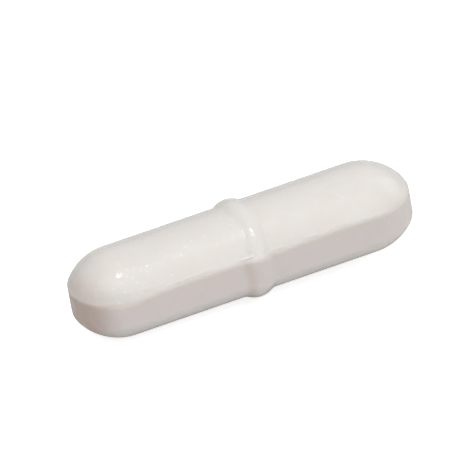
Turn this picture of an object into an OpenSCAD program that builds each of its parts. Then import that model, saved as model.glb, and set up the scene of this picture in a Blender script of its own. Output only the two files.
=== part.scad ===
// Magnetic stir bar: a rod magnet sealed in a moulded PTFE jacket, with a pivot ring round its middle.
// The bar lies as it comes to rest: rocked over on its ring until its near end touches the surface.
// Units are millimetres. +X runs along the bar to its raised end, +Z is up, z = 0 is the surface.

/* [Jacket] */
// Length of the bar over its rounded ends
bar_len = 25; // [16:0.5:60]
// Width of the bar across its two flat side bands
bar_w = 7; // [5.5:0.25:12]
// Height of the bar over its crowned top and underside
bar_h = 6.2; // [5:0.1:7.8]
// Height of the flat band that the mould's side wall leaves all round
band_h = 1.7; // [0.4:0.1:2.6]
// Radius of the rounded crease between the band and the crown
crease_r = 0.7; // [0.6:0.1:1.6]

/* [Pivot ring] */
// Height that the ring stands out from the jacket
ring_h = 0.32; // [0.2:0.02:0.7]
// Radius of the ring's rounded crest
ring_crest_r = 1.5; // [1:0.1:1.7]
// Radius of the hollow blend at each foot of the ring
ring_foot_r = 0.3; // [0.1:0.05:0.8]
// Distance of the ring from mid-length, towards the raised end
ring_shift = 0.15; // [-0.5:0.05:0.5]

/* [Magnet] */
// Thickness of the jacket above and below the rod magnet
crown_wall = 1.1; // [0.6:0.1:1.6]
// Thickness of the jacket beyond each end of the rod magnet
end_wall = 2.5; // [1.5:0.1:4]
// Bevel round each end of the rod magnet
magnet_bevel = 0.3; // [0.1:0.1:0.8]

/* [Hidden] */
$fn = 96;

half_w = bar_w / 2;
half_h = bar_h / 2;
half_band = band_h / 2;
// Centre of each rounded end, as seen from above
end_x = bar_len / 2 - half_w;

// The rod magnet fills what the jacket's walls leave
magnet_r = half_h - crown_wall;
magnet_end = bar_len / 2 - end_wall;

// The crown is one arc that meets the crease arc smoothly, and so sets its own radius
crease_y = half_w - crease_r;
crown_rise = half_h - half_band - crease_r;
crown_r = crease_r + (pow(crease_y, 2) + pow(crown_rise, 2)) / (2 * crown_rise);
crown_z = half_h - crown_r;
// Angle from upright at which crown and crease meet, and how far out that is
crown_turn = asin(crease_y / (crown_r - crease_r));
meet_y = crown_r * sin(crown_turn);
// The crease stands out by a hair, so that its arc crosses the crown and the band instead of grazing them
crease_bite = 0.004;
// Round the crease, the ring runs on by this angle into its own stretches over crown and band
crease_lap = 12;
// Whatever is cut back to a face starts out beyond it by this much
spare = 0.5;

// The ring is rooted in the jacket, and its hollow feet run out just below the jacket's surface
ring_root = 0.5;
foot_sink = 0.01;
// Each foot's arc bites a hair into the crest's arc, which gives their height and the ring's half width
foot_bite = 0.004;
crest_depth = ring_crest_r - ring_h;
foot_lift = ring_foot_r - foot_sink;
crest_to_foot = ring_crest_r + ring_foot_r - foot_bite;
ring_reach = sqrt(pow(crest_to_foot, 2) - pow(crest_depth + foot_lift, 2));
join_h = (crest_depth + foot_lift) * ring_crest_r / crest_to_foot - crest_depth;

// The bar rocks over until one plane touches both the ring's crest and the near end's underside
contact_run = end_x + ring_shift;
contact_drop = crown_r - crest_depth;
rest_tilt = atan2(contact_drop, contact_run)
    - asin((crown_r - ring_crest_r) / norm([contact_run, contact_drop]));
rest_lift = ring_crest_r + (half_h - crest_depth) * cos(rest_tilt) - ring_shift * sin(rest_tilt);

// Cross-section of the jacket: flat bands at the sides, crowned top and underside, rounded creases
module section() {
    intersection() {
        square([bar_w, 2 * bar_h], center = true);
        union() {
            square([bar_w + 2 * spare, band_h], center = true);
            for (over = [0, 1]) mirror([0, over]) {
                // A flat crown's centre lies beyond the other side, so the crown ends at mid-height
                intersection() {
                    translate([0, crown_z]) circle(crown_r);
                    translate([-meet_y, 0]) square([2 * meet_y, bar_h]);
                }
                for (side = [-1, 1])
                    translate([side * crease_y, half_band]) circle(crease_r + crease_bite);
            }
        }
    }
}

// Lays a flat outline across the bar, so that what was its upward axis runs along +X
module across_bar() {
    rotate([90, 0, 90]) children();
}

// Half of the plain jacket: a straight stretch, and half a turn of half the cross-section
module jacket_half() {
    across_bar() linear_extrude(end_x) section();
    translate([end_x, 0, 0])
        rotate([0, 0, -90])
            rotate_extrude(angle = 180)
                intersection() {
                    section();
                    translate([0, -bar_h]) square([bar_w, 2 * bar_h]);
                }
}

// Outline of the ring where it stands on a surface at the given distance from the origin
module ring_outline(surface) {
    root = surface - ring_root;
    difference() {
        union() {
            intersection() {
                translate([surface - crest_depth, 0]) circle(ring_crest_r);
                translate([root, -ring_reach]) square([ring_root + ring_h + spare, 2 * ring_reach]);
            }
            translate([root, -ring_reach]) square([ring_root + join_h, 2 * ring_reach]);
        }
        for (side = [-1, 1])
            translate([surface + foot_lift, side * ring_reach]) circle(ring_foot_r);
    }
}

// Pivot ring: its outline carried round crown, crease and band, always at one height
module ring() {
    translate([ring_shift, 0, 0]) across_bar() {
        for (over = [0, 1], side = [0, 1])
            mirror([0, over, 0]) mirror([side, 0, 0]) {
                translate([0, crown_z, 0])
                    rotate_extrude(angle = crown_turn, start = 90 - crown_turn)
                        ring_outline(crown_r);
                translate([crease_y, half_band, 0])
                    rotate_extrude(angle = 90 - crown_turn + 2 * crease_lap, start = -crease_lap)
                        ring_outline(crease_r + crease_bite);
            }
        for (side = [0, 1])
            mirror([side, 0, 0]) translate([0, half_band, 0])
                rotate([90, 0, 0]) linear_extrude(band_h) ring_outline(half_w);
    }
}

// The rod magnet's form, which is also the hollow that the jacket is moulded with
module rod() {
    rotate([0, 90, 0])
        rotate_extrude()
            polygon([
                [0, -magnet_end], [magnet_r - magnet_bevel, -magnet_end],
                [magnet_r, magnet_bevel - magnet_end], [magnet_r, magnet_end - magnet_bevel],
                [magnet_r - magnet_bevel, magnet_end], [0, magnet_end]
            ]);
}

// Sets the level bar down on its ring and its near end
module at_rest() {
    translate([0, 0, rest_lift]) rotate([0, -rest_tilt, 0]) children();
}

module ptfe_jacket() {
    color([0.90, 0.88, 0.86])
        at_rest()
            difference() {
                union() {
                    jacket_half();
                    mirror([1, 0, 0]) jacket_half();
                    ring();
                }
                rod();
            }
}

module rod_magnet() {
    color([0.45, 0.45, 0.47])
        at_rest() rod();
}

ptfe_jacket();
rod_magnet();
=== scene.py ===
import math

import bmesh
import bpy
from mathutils import Matrix, Vector, noise


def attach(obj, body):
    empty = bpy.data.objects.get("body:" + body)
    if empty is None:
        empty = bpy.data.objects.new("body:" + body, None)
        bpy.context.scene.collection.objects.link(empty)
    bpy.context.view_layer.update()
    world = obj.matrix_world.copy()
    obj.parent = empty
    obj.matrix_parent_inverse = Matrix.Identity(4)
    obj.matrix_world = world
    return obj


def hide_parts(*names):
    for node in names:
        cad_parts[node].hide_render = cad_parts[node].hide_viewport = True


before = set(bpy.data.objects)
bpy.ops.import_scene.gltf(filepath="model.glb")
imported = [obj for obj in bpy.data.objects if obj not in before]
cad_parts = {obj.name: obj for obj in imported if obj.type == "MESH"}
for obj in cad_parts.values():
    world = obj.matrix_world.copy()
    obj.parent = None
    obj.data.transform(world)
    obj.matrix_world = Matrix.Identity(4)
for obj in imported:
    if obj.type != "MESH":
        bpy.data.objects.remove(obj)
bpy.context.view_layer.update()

# ---------------------------------------------------------------- Rod magnet
# A cylinder of aluminium-nickel-cobalt alloy, cast and then ground to size all over.
# It is sealed in the middle of the jacket, so its finish is seen only in a cut-open view.

mm = 0.001

alloy_dark = (0.36, 0.36, 0.38)
alloy_light = (0.52, 0.52, 0.54)


def new_material(name):
    """A new node material, its node tree and its Principled shader."""
    material = bpy.data.materials.new(name)
    material.use_nodes = True
    return material, material.node_tree, material.node_tree.nodes["Principled BSDF"]


def new_node(tree, kind, **settings):
    """A node of this kind in a node tree, with its settings made."""
    node = tree.nodes.new(kind)
    for key, value in settings.items():
        setattr(node, key, value)
    return node


def fill(node, values):
    """Gives each named socket what another node puts out, or a number, a vector or a colour."""
    for name, value in values.items():
        socket = node.inputs[name]
        if isinstance(value, bpy.types.NodeSocket):
            node.id_data.links.new(value, socket)
        elif socket.type == "RGBA":
            socket.default_value = (*value, 1)
        else:
            socket.default_value = value
    return node


def grain_group():
    """Fine grain over a surface, in 0 to 1, from a point in millimetres, stretched and moved first."""
    group = bpy.data.node_groups.new("grain", "ShaderNodeTree")
    for name in ("Point", "Stretch", "Start"):
        group.interface.new_socket(name, in_out="INPUT", socket_type="NodeSocketVector")
    for name in ("Grains per mm", "Detail", "Roughness"):
        group.interface.new_socket(name, in_out="INPUT", socket_type="NodeSocketFloat")
    group.interface.new_socket("Height", in_out="OUTPUT", socket_type="NodeSocketFloat")
    inlet = new_node(group, "NodeGroupInput").outputs
    moved = new_node(group, "ShaderNodeVectorMath", operation="MULTIPLY_ADD")
    fill(moved, {0: inlet["Point"], 1: inlet["Stretch"], 2: inlet["Start"]})
    texture = new_node(group, "ShaderNodeTexNoise")
    fill(texture, {"Vector": moved.outputs["Vector"], "Scale": inlet["Grains per mm"]})
    fill(texture, {"Detail": inlet["Detail"], "Roughness": inlet["Roughness"]})
    fill(new_node(group, "NodeGroupOutput"), {"Height": texture.outputs["Fac"]})
    return group


grain = grain_group()


def grained(point, per_mm, stretch=(1, 1, 1), roughness=0.5, detail=3, start=(0, 0, 0)):
    """The grain at a point in millimetres."""
    node = new_node(point.id_data, "ShaderNodeGroup", node_tree=grain)
    fill(node, {"Point": point, "Stretch": stretch, "Start": start, "Grains per mm": per_mm})
    return fill(node, {"Detail": detail, "Roughness": roughness}).outputs["Height"]


def tinted(base, tint, share):
    """The base colour with a share of the tint over it."""
    node = new_node(share.id_data, "ShaderNodeMix", data_type="RGBA")
    return fill(node, {"A": base, "B": tint, "Factor": share}).outputs["Result"]


def bumped(height, distance, strength=1.0):
    """A surface that stands out by up to this distance, in metres, where the height is 1."""
    node = new_node(height.id_data, "ShaderNodeBump")
    return fill(node, {"Height": height, "Distance": distance, "Strength": strength}).outputs["Normal"]


def ground_alloy():
    """Ground magnet alloy: grey, with fine lines round the rod from the grinding wheel."""
    material, tree, shader = new_material("ground_alloy")
    place = new_node(tree, "ShaderNodeTexCoord")
    in_mm = new_node(tree, "ShaderNodeVectorMath", operation="SCALE")
    fill(in_mm, {0: place.outputs["Object"], "Scale": 1 / mm})
    lines = grained(in_mm.outputs["Vector"], per_mm=1.2, stretch=(12, 0.6, 0.6), roughness=0.6)
    dull = fill(new_node(tree, "ShaderNodeMapRange"), {"Value": lines, "To Min": 0.28, "To Max": 0.5})
    finish = {
        "Base Color": tinted(alloy_dark, alloy_light, lines),
        "Roughness": dull.outputs["Result"],
        "Normal": bumped(lines, 0.01 * mm, strength=0.3),
        "Metallic": 1.0,
    }
    fill(shader, finish)
    return material


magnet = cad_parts["rod_magnet"]
magnet.data.materials.clear()
magnet.data.materials.append(ground_alloy())

# ---------------------------------------------------------------- PTFE jacket
# PTFE powder pressed round the magnet in a die and sintered to one skin, ring and all. The die wall left
# the flat band all round and the two punches left the crowns. The upper punch sat a little off centre,
# and the flash along its edge was trimmed by hand.

bar_len = 25 * mm
bar_w = 7 * mm
bar_h = 6.2 * mm
band_h = 1.7 * mm
crease_r = 0.7 * mm

ring_h = 0.32 * mm
ring_crest_r = 1.5 * mm
ring_blend_r = 0.8 * mm
ring_shift = 0.15 * mm
# The die left the ring's middle a hair further over than it was drawn
ring_x = 0.20 * mm
# The ring wore down in use, most where it comes over the crown towards the front, which faces -Y
worn_away = 0.21 * mm
worn_middle = math.radians(-26)
worn_spread = math.radians(35)
# For each millimetre worn away, its feet's radius grows and its crest moves over by this many
worn_softness = 2
worn_over = 1.7

half_w, half_h, half_band = bar_w / 2, bar_h / 2, band_h / 2
end_x = bar_len / 2 - half_w

# The crown is one arc that meets the crease arc smoothly, and so sets its own radius
crease_y = half_w - crease_r
crown_rise = half_h - half_band - crease_r
crown_r = crease_r + (crease_y**2 + crown_rise**2) / (2 * crown_rise)
crown_z = half_h - crown_r
crown_turn = math.asin(crease_y / (crown_r - crease_r))

# The bar lies rocked over on its ring and its near end, which points along -X
crest_depth = ring_crest_r - ring_h
contact_run = end_x + ring_shift
contact_drop = crown_r - crest_depth
rest_tilt = math.atan2(contact_drop, contact_run) - math.asin(
    (crown_r - ring_crest_r) / math.hypot(contact_run, contact_drop)
)
rest_lift = ring_crest_r + (half_h - crest_depth) * math.cos(rest_tilt) - ring_shift * math.sin(rest_tilt)
at_rest = Matrix.Translation((0, 0, rest_lift)) @ Matrix.Rotation(-rest_tilt, 4, "Y")

# The upper punch sat this much towards the near end, so the crown overhangs the band there
punch_slip = 0.04 * mm
# The step out to the overhang starts this much above the band, and is this high
slip_start = 0.06 * mm
slip_run = 0.12 * mm
# The edge left by the upper punch isn't quite true: (place along the bar, spread, height too much)
untrue_edge = [
    (-10.0 * mm, 1.8 * mm, -0.24 * mm),
    (-3.7 * mm, 2.0 * mm, 0.10 * mm),
    (1.5 * mm, 1.2 * mm, -0.06 * mm),
    (7.0 * mm, 3.0 * mm, 0.11 * mm),
]
# It carries the skin round it up or down, most at this height
untrue_z = half_band + 0.2 * mm
untrue_spread = 0.55 * mm
# Trimming left a low, broken lip of flash above the crease
flash_z = 1.30 * mm
flash_h = 0.035 * mm
flash_w = 0.06 * mm
# It comes and goes over these two lengths, in a pattern that this number picks
flash_long = 1.1 * mm
flash_short = 0.24 * mm
flash_pattern = 45.51
# None is left round the near end: it starts here, and reaches its full height over this length
flash_from = -11.5 * mm
flash_rise = 2.5 * mm
# In the ring's near foot the knife skipped, and left an unbroken stretch of it
skipped_x = -0.55 * mm
skipped_spread = 0.45 * mm


def ring_reach(height, blend_r):
    """Half the ring's width over its hollow feet, at a given height of its crest."""
    centres = ring_crest_r + blend_r
    return math.sqrt(centres**2 - (centres - height) ** 2)


def ring_stand(off, worn):
    """How far the ring stands out at a distance from its middle, where this much is worn away."""
    height, blend_r = ring_h - worn, ring_blend_r + worn_softness * worn
    reach = ring_reach(height, blend_r)
    off = abs(off)
    if off < reach * ring_crest_r / (ring_crest_r + blend_r):
        return math.sqrt(ring_crest_r**2 - off**2) - ring_crest_r + height
    if off < reach:
        return blend_r - math.sqrt(blend_r**2 - (reach - off) ** 2)
    return 0


def bell(value, middle, spread, power=2):
    """1 at the middle and falling to 0 on both sides, with squarer shoulders at a higher power."""
    return math.exp(-(abs((value - middle) / spread) ** power))


def clamped(value):
    """The value, kept within 0 and 1."""
    return min(1, max(0, value))


def crease_wander(x):
    """How much too high the upper crease is at a place along the bar."""
    return sum(height * bell(x, place, spread) for place, spread, height in untrue_edge)


def flash_lip(x, z):
    """Height of the trimmed flash at a place on the bar's side."""
    if abs(z - flash_z) > 3 * flash_w:
        return 0
    long = noise.noise(Vector((x / flash_long, flash_pattern, 0)))
    short = noise.noise(Vector((x / flash_short, flash_pattern + 5, 0)))
    # Where both are low, the knife cut it flush
    broken = clamped((x - flash_from) / flash_rise) * clamped(0.1 + 1.5 * long + 0.9 * short)
    skipped = bell(x, skipped_x, skipped_spread, power=4)
    return flash_h * bell(z, flash_z, flash_w) * (broken + skipped)


def even_steps(start, end, count):
    """Even steps from start to end, without the end itself."""
    return [start + (end - start) * i / count for i in range(count)]


def half_section():
    """Down one side of the cross-section, from upper to lower crest: (y, z) and the outward direction."""

    def arc(middle_y, middle_z, radius, turns):
        ways = [(math.sin(turn), math.cos(turn)) for turn in turns]
        return [(middle_y + radius * y, middle_z + radius * z, y, z) for y, z in ways]

    # The steps are finer from the shoulder down, where the flash is
    shoulder = 0.55 * crown_turn
    upper = arc(0, crown_z, crown_r, even_steps(0, shoulder, 18))
    upper += arc(0, crown_z, crown_r, even_steps(shoulder, crown_turn, 44))
    upper += arc(crease_y, half_band, crease_r, even_steps(crown_turn, math.pi / 2, 22))
    upper += [(half_w, z, 1, 0) for z in even_steps(half_band, 0, 5)]
    lower = [(y, -z, out_y, -out_z) for y, z, out_y, out_z in upper]
    return upper + [(half_w, 0, 1, 0)] + lower[::-1]


def walk_round():
    """Once round the bar as seen from above: (x of the section's middle, way it faces)."""
    quarter = math.pi / 2
    reach = ring_reach(ring_h, ring_blend_r)
    along = even_steps(-end_x, ring_x - reach, 72)
    along += even_steps(ring_x - reach, ring_x + reach, 48)
    along += even_steps(ring_x + reach, end_x, 70)
    steps = [(x, quarter) for x in along]
    steps += [(end_x, angle) for angle in even_steps(quarter, -quarter, 76)]
    steps += [(x, -quarter) for x in [end_x] + along[:0:-1]]
    steps += [(-end_x, angle) for angle in even_steps(-quarter, -3 * quarter, 76)]
    return steps


def skin_point(x, angle, y, z, out_y, out_z):
    """Where a point of the plain section comes to lie, with the ring, the flash and the punch's faults."""
    along = x + y * math.cos(angle)
    worn = worn_away * bell(math.atan2(out_y * math.sin(angle), out_z), worn_middle, worn_spread)
    stand = ring_stand(x - ring_x - worn_over * worn, worn)
    if z > 0:
        stand += flash_lip(along, z)
    raised = crease_wander(along) * bell(z, untrue_z, untrue_spread)
    y, z = y + stand * out_y, z + stand * out_z + raised
    slip = punch_slip * clamped((z - half_band - slip_start) / slip_run)
    return at_rest @ Vector((x + y * math.cos(angle) - slip, y * math.sin(angle), z))


def jacket_mesh():
    """The jacket's outer skin: one half section at each step of the walk round the bar."""
    section = half_section()
    steps = walk_round()
    points = [skin_point(x, angle, *place) for x, angle in steps for place in section]
    rows = len(section)
    faces = []
    for i in range(len(steps)):
        a, b = i * rows, (i + 1) % len(steps) * rows
        faces += [(a + j, a + j + 1, b + j + 1, b + j) for j in range(rows - 1)]
    mesh = bpy.data.meshes.new("ptfe_jacket_skin")
    mesh.from_pydata(points, [], faces)
    work = bmesh.new()
    work.from_mesh(mesh)
    # Along the crests and at the middle of each dome, points fall together
    bmesh.ops.remove_doubles(work, verts=work.verts, dist=0.001 * mm)
    bmesh.ops.recalc_face_normals(work, faces=work.faces)
    for face in work.faces:
        face.smooth = True
    work.to_mesh(mesh)
    work.free()
    return mesh


warm_white = (0.860, 0.826, 0.794)
cloudy_white = (0.846, 0.808, 0.774)
burnished_white = (0.845, 0.785, 0.765)
crease_dirt = (0.845, 0.775, 0.700)
# Painted shade for the ring's near foot
foot_shade_brown = (0.805, 0.715, 0.655)
# Painted glints on the crowns
glint_white = (0.95, 0.925, 0.90)
# Painted shade for the near end
end_shade_brown = (0.60, 0.475, 0.400)

# Where dirt gathers and where shade is painted, in millimetres from the bar's middle: dirt at the height
# of the crease, and painted shade along it at the ring's near foot, a little inside the foot's outer edge
dirty_crease_z = 0.82
shaded_foot_in = 0.36
shaded_foot_x = (ring_x - ring_reach(ring_h, ring_blend_r)) / mm + shaded_foot_in


def maths(kind, a, b=0):
    """One step of arithmetic; the first value is another node's."""
    node = new_node(a.id_data, "ShaderNodeMath", operation=kind)
    return fill(node, {0: a, 1: b}).outputs["Value"]


def times(a, b):
    return maths("MULTIPLY", a, b)


def away_from(middle, value):
    """How far the value is from the middle, either way."""
    return maths("ABSOLUTE", maths("SUBTRACT", value, middle))


def ramp(value, start, end, low=0.0, high=1.0):
    """Runs smoothly from low, where the value is at start, to high, where it is at end."""
    node = new_node(value.id_data, "ShaderNodeMapRange", interpolation_type="SMOOTHSTEP")
    fill(node, {"Value": value, "From Min": start, "From Max": end, "To Min": low, "To Max": high})
    return node.outputs["Result"]


def grain_and_glint_spots(point, x, off_middle):
    """Specks on the crowns, most of them in the near half: single powder grains that rise a little in the
    skin, made whiter in the colour as painted glints.
    """
    cells = new_node(point.id_data, "ShaderNodeTexVoronoi", feature="F1")
    fill(cells, {"Vector": point, "Scale": 1.9})
    drawn = fill(new_node(point.id_data, "ShaderNodeSeparateColor"), {"Color": cells.outputs["Color"]})
    # Few of the cells hold a grain: their random colours choose which
    chosen = ramp(drawn.outputs["Red"], start=0.4, end=0.8)
    grains = times(ramp(cells.outputs["Distance"], start=0.32, end=0.08), chosen)
    near_half = ramp(x, start=1, end=-2, low=0.2)
    on_crowns = ramp(off_middle, start=0.8, end=1.25)
    return times(times(grains, near_half), on_crowns)


def skin_colour(point, x, z, off_middle, grains_and_glints):
    """Warm white under the marks of the die and of dirt, with painted shade and painted glints, by places
    in millimetres.
    """
    # Cloudy tone from uneven sintering
    cloud = ramp(grained(point, per_mm=0.45, stretch=(0.6, 1, 1)), start=0.3, end=0.7)
    colour = tinted(warm_white, cloudy_white, cloud)
    # The die wall burnished the band, which came out a little pinker than the crowns
    on_band = ramp(off_middle, start=1.25, end=0.8)
    colour = tinted(colour, burnished_white, on_band)
    # Dirt that stays in the crease between band and crown, in broken stretches
    in_crease = ramp(away_from(dirty_crease_z, z), start=0.34, end=0.08)
    stretches = grained(point, per_mm=1.4, stretch=(0.5, 1, 1), roughness=0.6)
    broken = ramp(stretches, start=0.35, end=0.65, low=0.15, high=0.6)
    colour = tinted(colour, crease_dirt, times(in_crease, broken))
    # Painted shade in the ring's near foot, down the sides: brown, where the foot is in shade
    painted_foot_shade = ramp(away_from(shaded_foot_x, x), start=0.55, end=0.05, high=0.6)
    down_sides = ramp(z, start=1.1, end=0.9)
    colour = tinted(colour, foot_shade_brown, times(painted_foot_shade, down_sides))
    # Painted glints: small whiter specks on the crowns, most in the near half, where the skin's small
    # rises catch the lamps
    colour = tinted(colour, glint_white, times(grains_and_glints, 0.5))
    # Painted shade on the lower half of the near end, brown, where that end faces away from the lamps
    reached = ramp(x, start=-9.9, end=-12.4)
    mostly_below = ramp(z, start=1.15, end=0.75, low=0.42)
    not_on_top = ramp(z, start=3.0, end=1.4)
    patchy = ramp(grained(point, per_mm=0.6), start=0.25, end=0.75, low=0.7)
    painted_end_shade = times(times(reached, times(mostly_below, not_on_top)), patchy)
    return tinted(colour, end_shade_brown, painted_end_shade)


def sintered_skin(point, grains_and_glints):
    """Fine orange-peel of the sintered skin: waves, shorter ripples, and a slight rise at each grain."""
    pattern = {"roughness": 0.4, "detail": 1, "start": (25.9, 13.3, 0)}
    waves = times(grained(point, per_mm=2.0, **pattern), 1.1)
    ripples = times(grained(point, per_mm=5.5, **pattern), 0.8)
    height = maths("ADD", maths("ADD", waves, ripples), times(grains_and_glints, 0.3))
    return bumped(height, 0.022 * mm)


def pressed_ptfe():
    """Pressed and sintered PTFE: warm white, satin and a little translucent."""
    material, tree, shader = new_material("pressed_ptfe")
    # Millimetres along, across and up the bar itself, from its middle
    place = new_node(tree, "ShaderNodeTexCoord")
    in_bar = new_node(tree, "ShaderNodeMapping", vector_type="TEXTURE")
    fill(in_bar, {"Vector": place.outputs["Object"], "Location": (0, 0, rest_lift)})
    fill(in_bar, {"Rotation": (0, -rest_tilt, 0), "Scale": (mm, mm, mm)})
    point = in_bar.outputs["Vector"]
    part = fill(new_node(tree, "ShaderNodeSeparateXYZ"), {"Vector": point})
    x, z = part.outputs["X"], part.outputs["Z"]
    off_middle = away_from(0, z)
    grains_and_glints = grain_and_glint_spots(point, x, off_middle)
    # A little glossier where it was handled
    handled = grained(point, per_mm=0.9, stretch=(0.4, 1, 1), roughness=0.6)
    finish = {
        "Base Color": skin_colour(point, x, z, off_middle, grains_and_glints),
        "Roughness": ramp(handled, start=0.3, end=0.7, low=0.13, high=0.18),
        "Normal": sintered_skin(point, grains_and_glints),
        "IOR": 1.38,
        "Subsurface Weight": 1.0,
        "Subsurface Radius": (1.0, 0.9, 0.8),
        "Subsurface Scale": 0.3 * mm,
    }
    fill(shader, finish)
    return material


jacket = bpy.data.objects.new("jacket", jacket_mesh())
bpy.context.scene.collection.objects.link(jacket)
jacket.data.materials.append(pressed_ptfe())
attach(jacket, "root")
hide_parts("ptfe_jacket")

# ---------------------------------------------------------------- Table top and lamps
# A plain white sheet under the bar, large soft lamps round it, and a small lamp high overhead that gives
# the ring and the near dome their bright spots.

half_table = 3.0
# The camera sees the sheet and the room as plain white, whatever light they give the bar
sheet_grey = (0.72, 0.72, 0.72)
sheet_lift = 0.8
room_light = 0.22
room_seen = 1.0
lamps_away = 1.0


def white_sheet():
    """White paper, lifted to plain white where the camera sees it, with the bar's faint shadow left in."""
    material, tree, shader = new_material("white_sheet")
    rays = new_node(tree, "ShaderNodeLightPath")
    finish = {
        "Base Color": sheet_grey,
        "Roughness": 0.9,
        "Specular IOR Level": 0.0,
        "Emission Color": (1, 1, 1),
        "Emission Strength": times(rays.outputs["Is Camera Ray"], sheet_lift),
    }
    fill(shader, finish)
    return material


def studio():
    """A plain room: even, dim light from all round."""
    world = bpy.data.worlds.new("studio")
    world.use_nodes = True
    rays = new_node(world.node_tree, "ShaderNodeLightPath")
    level = new_node(world.node_tree, "ShaderNodeMix", data_type="FLOAT")
    fill(level, {"A": room_light, "B": room_seen, "Factor": rays.outputs["Is Camera Ray"]})
    fill(world.node_tree.nodes["Background"], {"Color": (1, 1, 1), "Strength": level.outputs["Result"]})
    return world


def lamp(name, azimuth, elevation, size, power):
    """A round lamp that faces the bar, in degrees, metres and watts. Azimuth 0 is +X and 90 is +Y."""
    light = bpy.data.lights.new(name, "AREA")
    light.shape = "DISK"
    light.size = size
    light.energy = power
    a, e = math.radians(azimuth), math.radians(elevation)
    towards = Vector((math.cos(e) * math.cos(a), math.cos(e) * math.sin(a), math.sin(e)))
    holder = bpy.data.objects.new(name, light)
    holder.location = towards * lamps_away
    holder.rotation_euler = towards.to_track_quat("Z", "Y").to_euler()
    bpy.context.scene.collection.objects.link(holder)


corners = [(x * half_table, y * half_table, 0) for x, y in ((-1, -1), (1, -1), (1, 1), (-1, 1))]
sheet_mesh = bpy.data.meshes.new("table_top")
sheet_mesh.from_pydata(corners, [], [(0, 1, 2, 3)])
sheet = bpy.data.objects.new("table_top", sheet_mesh)
bpy.context.scene.collection.objects.link(sheet)
sheet.data.materials.append(white_sheet())

bpy.context.scene.world = studio()

lamp("front", -82, 60, 0.8, 2.1)
lamp("low_front", -60, 32, 0.7, 1.35)
lamp("left", -150, 60, 0.8, 2.3)
lamp("right", 10, 32, 0.7, 1.6)
lamp("back", 165, 60, 0.8, 0.35)
lamp("top", 0, 84, 0.8, 0.8)
lamp("overhead", -70, 84, 0.08, 1.2)

# ---------------------------------------------------------------- Camera
# A long lens that looks down on the bar's front from a little towards its near end, held at a slant.
# It is placed from the bar itself, so it tips with the bar's own rest tilt.

elevation, turn, roll = math.radians(33.05), math.radians(15.54), math.radians(10.37)
aim_right, aim_up = -0.23 * mm, 0.79 * mm
camera_away = 1.1

camera_data = bpy.data.cameras.new("camera")
camera_data.lens = 1214
camera_data.sensor_width = 36
camera_data.clip_start = 0.1
camera_data.clip_end = 20
camera = bpy.data.objects.new("camera", camera_data)
bpy.context.scene.collection.objects.link(camera)
bpy.context.scene.camera = camera
looks = (
    Matrix.Rotation(-turn, 4, "Z")
    @ Matrix.Rotation(math.pi / 2 - elevation, 4, "X")
    @ Matrix.Rotation(-roll, 4, "Z")
)
camera.matrix_world = at_rest @ looks @ Matrix.Translation((aim_right, aim_up, camera_away))

bpy.context.scene.view_settings.view_transform = "Standard"
